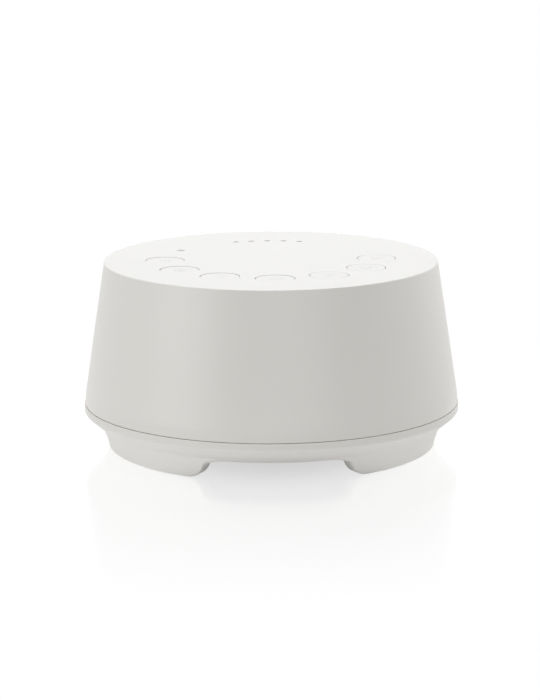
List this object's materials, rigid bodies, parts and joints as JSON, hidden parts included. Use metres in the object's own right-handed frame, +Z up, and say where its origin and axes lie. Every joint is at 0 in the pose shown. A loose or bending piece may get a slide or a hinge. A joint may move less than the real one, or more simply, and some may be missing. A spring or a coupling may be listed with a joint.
{
  "type": "white noise sound machine",
  "caption": "Round table-top sound machine: tapered housing on two curved feet, round dished push buttons and light windows on its flat top, loudspeaker firing down through a slotted floor.",
  "frame": {"origin": "on the table, under the centre of the round housing", "axes": "+Z up along the housing's axis, front with the play button at -Y, +X to the right as seen from the front"},
  "size_m": [0.1508, 0.1508, 0.0748],
  "materials": {
    "housing": "fine satin",
    "base": "fine satin",
    "button": "fine satin",
    "pads": "matt",
    "board": "solder mask",
    "silicone": "translucent matt",
    "light_guide": "smoked, moulded",
    "led": "moulded",
    "chip": "moulded epoxy",
    "capacitor": "sleeved can",
    "socket": "moulded nylon",
    "jack": "moulded",
    "pin": "plated",
    "frame_steel": "black coated",
    "motor_steel": "zinc plated",
    "surround": "matt",
    "lead": "flexible insulation",
    "cone": "pressed paper pulp"
  },
  "bodies": {
    "housing": {"upper_housing": "housing", "lower_housing": "base", "foot_pads": "pads", "main_board": "board", "keypad": "silicone", "timer_light_guide": "light_guide", "power_light_guide": "light_guide", "indicator_leds": "led", "controller_chip": "chip", "amplifier_chip": "chip", "smoothing_capacitor": "capacitor", "speaker_socket": "socket", "power_socket": "socket", "dc_jack": "jack", "dc_jack_pin": "pin", "speaker_frame": "frame_steel", "speaker_yoke": "motor_steel", "speaker_surround": "surround", "speaker_terminals": "socket", "speaker_lead": "lead", "power_lead": "lead"},
    "power_button": {"power_button": "button"},
    "timer_button": {"timer_button": "button"},
    "volume_down_button": {"volume_down_button": "button"},
    "play_button": {"play_button": "button"},
    "volume_up_button": {"volume_up_button": "button"},
    "previous_button": {"previous_button": "button"},
    "next_button": {"next_button": "button"},
    "cone": {"speaker_cone": "cone"}
  },
  "joints": [
    {"name": "power_press", "type": "slide", "parent": "housing", "child": "power_button", "axis": [0, 0, -1], "range_m": [0, 0.001], "stiffness_N_per_m": 1200, "deforming": ["keypad"]},
    {"name": "timer_press", "type": "slide", "parent": "housing", "child": "timer_button", "axis": [0, 0, -1], "range_m": [0, 0.001], "stiffness_N_per_m": 1200, "deforming": ["keypad"]},
    {"name": "volume_down_press", "type": "slide", "parent": "housing", "child": "volume_down_button", "axis": [0, 0, -1], "range_m": [0, 0.001], "stiffness_N_per_m": 1200, "deforming": ["keypad"]},
    {"name": "play_press", "type": "slide", "parent": "housing", "child": "play_button", "axis": [0, 0, -1], "range_m": [0, 0.001], "stiffness_N_per_m": 1200, "deforming": ["keypad"]},
    {"name": "volume_up_press", "type": "slide", "parent": "housing", "child": "volume_up_button", "axis": [0, 0, -1], "range_m": [0, 0.001], "stiffness_N_per_m": 1200, "deforming": ["keypad"]},
    {"name": "previous_press", "type": "slide", "parent": "housing", "child": "previous_button", "axis": [0, 0, -1], "range_m": [0, 0.001], "stiffness_N_per_m": 1200, "deforming": ["keypad"]},
    {"name": "next_press", "type": "slide", "parent": "housing", "child": "next_button", "axis": [0, 0, -1], "range_m": [0, 0.001], "stiffness_N_per_m": 1200, "deforming": ["keypad"]},
    {"name": "cone_stroke", "type": "slide", "parent": "housing", "child": "cone", "axis": [0, 0, -1], "range_m": [-0.001, 0.001], "stiffness_N_per_m": 2700, "deforming": ["speaker_surround"]}
  ]
}
